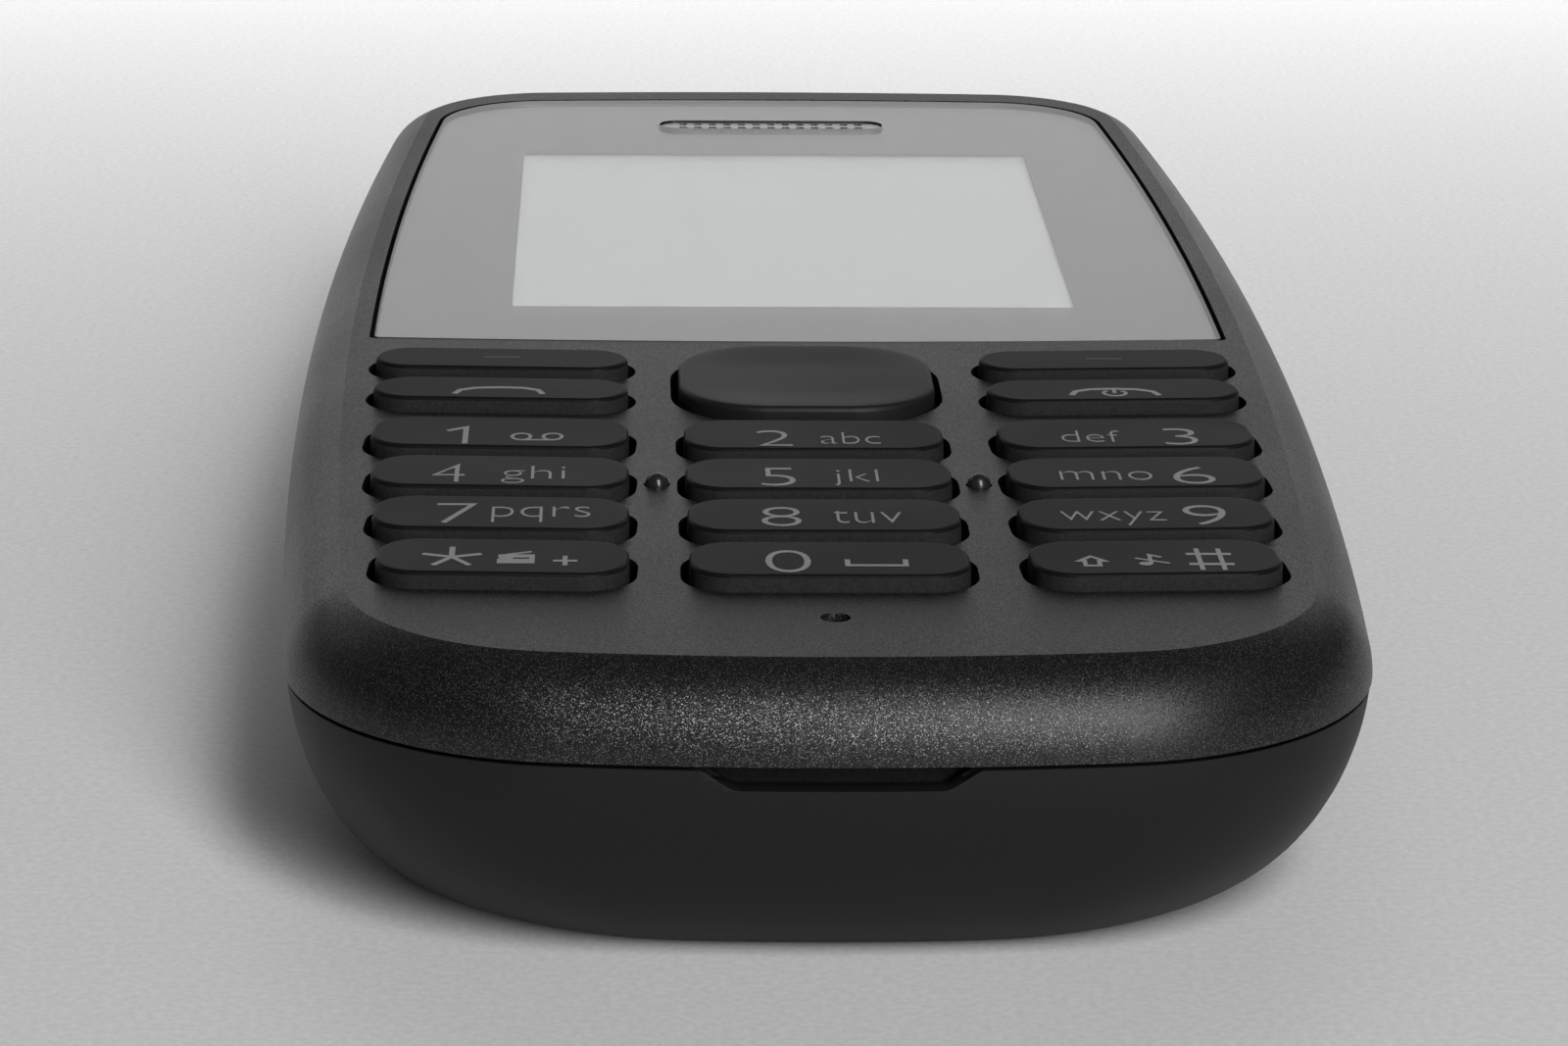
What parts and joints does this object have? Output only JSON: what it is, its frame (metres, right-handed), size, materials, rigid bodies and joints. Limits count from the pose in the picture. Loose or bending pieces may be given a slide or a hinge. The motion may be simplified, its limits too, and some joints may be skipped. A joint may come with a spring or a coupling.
{
  "type": "feature phone",
  "caption": "Candy-bar mobile phone with a display window over a pill-key number pad, a tilting middle key and a lift-off rear cover over its battery.",
  "frame": {"origin": "middle of the back, on the surface the phone lies on", "axes": "+X to the right across the face, +Y from the microphone end to the earpiece end, +Z out of the face"},
  "size_m": [0.0512, 0.12, 0.0147],
  "materials": {
    "front_plastic": "fine speckled matte",
    "rear_plastic": "smooth matte",
    "key_plastic": "soft matte",
    "inner_plastic": "moulded",
    "window": "polished",
    "grille": "matt black mesh",
    "display": "glass-faced panel, switched off",
    "foam": "closed-cell foam",
    "flex_film": "amber film",
    "mat_rubber": "silicone rubber",
    "dome_steel": "bright",
    "board": "green solder mask",
    "part_metal": "tinned sheet",
    "contact": "gold plated",
    "battery_case": "film wrapped",
    "screw_steel": "zinc plated"
  },
  "bodies": {
    "rear": {"rear_cover": "rear_plastic"},
    "handset": {"front_cover": "front_plastic", "chassis": "inner_plastic", "display_window": "window", "window_adhesive": "foam", "earpiece_grille": "grille", "earpiece_receiver": "part_metal", "lcd_module": "display", "lcd_gasket": "foam", "lcd_cushion": "foam", "lcd_flex": "flex_film", "keymat": "mat_rubber", "dome_sheet": "dome_steel", "main_board": "board", "radio_shield": "part_metal", "processor_shield": "part_metal", "sim_reader": "part_metal", "battery_contacts": "contact", "usb_socket": "part_metal", "headset_jack": "inner_plastic", "microphone": "part_metal", "microphone_boot": "mat_rubber", "vibration_motor": "part_metal", "loudspeaker": "inner_plastic", "loudspeaker_gasket": "foam", "antenna": "contact", "screws": "screw_steel"},
    "battery": {"battery": "battery_case"},
    "soft_key_left": {"soft_key_left": "key_plastic"},
    "soft_key_right": {"soft_key_right": "key_plastic"},
    "call_key": {"call_key": "key_plastic"},
    "end_key": {"end_key": "key_plastic"},
    "key_1": {"key_1": "key_plastic"},
    "key_2": {"key_2": "key_plastic"},
    "key_3": {"key_3": "key_plastic"},
    "key_4": {"key_4": "key_plastic"},
    "key_5": {"key_5": "key_plastic"},
    "key_6": {"key_6": "key_plastic"},
    "key_7": {"key_7": "key_plastic"},
    "key_8": {"key_8": "key_plastic"},
    "key_9": {"key_9": "key_plastic"},
    "key_star": {"key_star": "key_plastic"},
    "key_0": {"key_0": "key_plastic"},
    "key_hash": {"key_hash": "key_plastic"},
    "nav_plunger": {"nav_plunger": "mat_rubber"},
    "nav_rocker": {"nav_rocker": "mat_rubber"},
    "nav_key": {"nav_key": "key_plastic"}
  },
  "joints": [
    {"name": "cover_lift", "type": "slide", "parent": "rear", "child": "handset", "axis": [0, 0, 1], "range_m": [0, 0.03]},
    {"name": "battery_lift", "type": "slide", "parent": "handset", "child": "battery", "axis": [0, 0, -1], "range_m": [0, 0.015]},
    {"name": "soft_key_left_press", "type": "slide", "parent": "handset", "child": "soft_key_left", "axis": [0, 0, -1], "range_m": [0, 0.0004], "stiffness_N_per_m": 2500},
    {"name": "soft_key_right_press", "type": "slide", "parent": "handset", "child": "soft_key_right", "axis": [0, 0, -1], "range_m": [0, 0.0004], "stiffness_N_per_m": 2500},
    {"name": "call_key_press", "type": "slide", "parent": "handset", "child": "call_key", "axis": [0, 0, -1], "range_m": [0, 0.0004], "stiffness_N_per_m": 2500},
    {"name": "end_key_press", "type": "slide", "parent": "handset", "child": "end_key", "axis": [0, 0, -1], "range_m": [0, 0.0004], "stiffness_N_per_m": 2500},
    {"name": "key_1_press", "type": "slide", "parent": "handset", "child": "key_1", "axis": [0, 0, -1], "range_m": [0, 0.0004], "stiffness_N_per_m": 2500},
    {"name": "key_2_press", "type": "slide", "parent": "handset", "child": "key_2", "axis": [0, 0, -1], "range_m": [0, 0.0004], "stiffness_N_per_m": 2500},
    {"name": "key_3_press", "type": "slide", "parent": "handset", "child": "key_3", "axis": [0, 0, -1], "range_m": [0, 0.0004], "stiffness_N_per_m": 2500},
    {"name": "key_4_press", "type": "slide", "parent": "handset", "child": "key_4", "axis": [0, 0, -1], "range_m": [0, 0.0004], "stiffness_N_per_m": 2500},
    {"name": "key_5_press", "type": "slide", "parent": "handset", "child": "key_5", "axis": [0, 0, -1], "range_m": [0, 0.0004], "stiffness_N_per_m": 2500},
    {"name": "key_6_press", "type": "slide", "parent": "handset", "child": "key_6", "axis": [0, 0, -1], "range_m": [0, 0.0004], "stiffness_N_per_m": 2500},
    {"name": "key_7_press", "type": "slide", "parent": "handset", "child": "key_7", "axis": [0, 0, -1], "range_m": [0, 0.0004], "stiffness_N_per_m": 2500},
    {"name": "key_8_press", "type": "slide", "parent": "handset", "child": "key_8", "axis": [0, 0, -1], "range_m": [0, 0.0004], "stiffness_N_per_m": 2500},
    {"name": "key_9_press", "type": "slide", "parent": "handset", "child": "key_9", "axis": [0, 0, -1], "range_m": [0, 0.0004], "stiffness_N_per_m": 2500},
    {"name": "key_star_press", "type": "slide", "parent": "handset", "child": "key_star", "axis": [0, 0, -1], "range_m": [0, 0.0004], "stiffness_N_per_m": 2500},
    {"name": "key_0_press", "type": "slide", "parent": "handset", "child": "key_0", "axis": [0, 0, -1], "range_m": [0, 0.0004], "stiffness_N_per_m": 2500},
    {"name": "key_hash_press", "type": "slide", "parent": "handset", "child": "key_hash", "axis": [0, 0, -1], "range_m": [0, 0.0004], "stiffness_N_per_m": 2500},
    {"name": "nav_press", "type": "slide", "parent": "handset", "child": "nav_plunger", "axis": [0, 0, -1], "range_m": [0, 0.0004], "stiffness_N_per_m": 2500},
    {"name": "nav_tilt_up_down", "type": "hinge", "parent": "nav_plunger", "child": "nav_rocker", "pos_m": [0, -0.0145, 0.01118], "axis": [1, 0, 0], "range_deg": [-2, 2], "stiffness_Nm_per_rad": 0.2},
    {"name": "nav_tilt_left_right", "type": "hinge", "parent": "nav_rocker", "child": "nav_key", "pos_m": [0, -0.0145, 0.01118], "axis": [0, 1, 0], "range_deg": [-2, 2], "stiffness_Nm_per_rad": 0.2}
  ],
  "couplings": [
    {"joint": "battery_lift", "follows": "cover_lift", "ratio": 0.5}
  ]
}
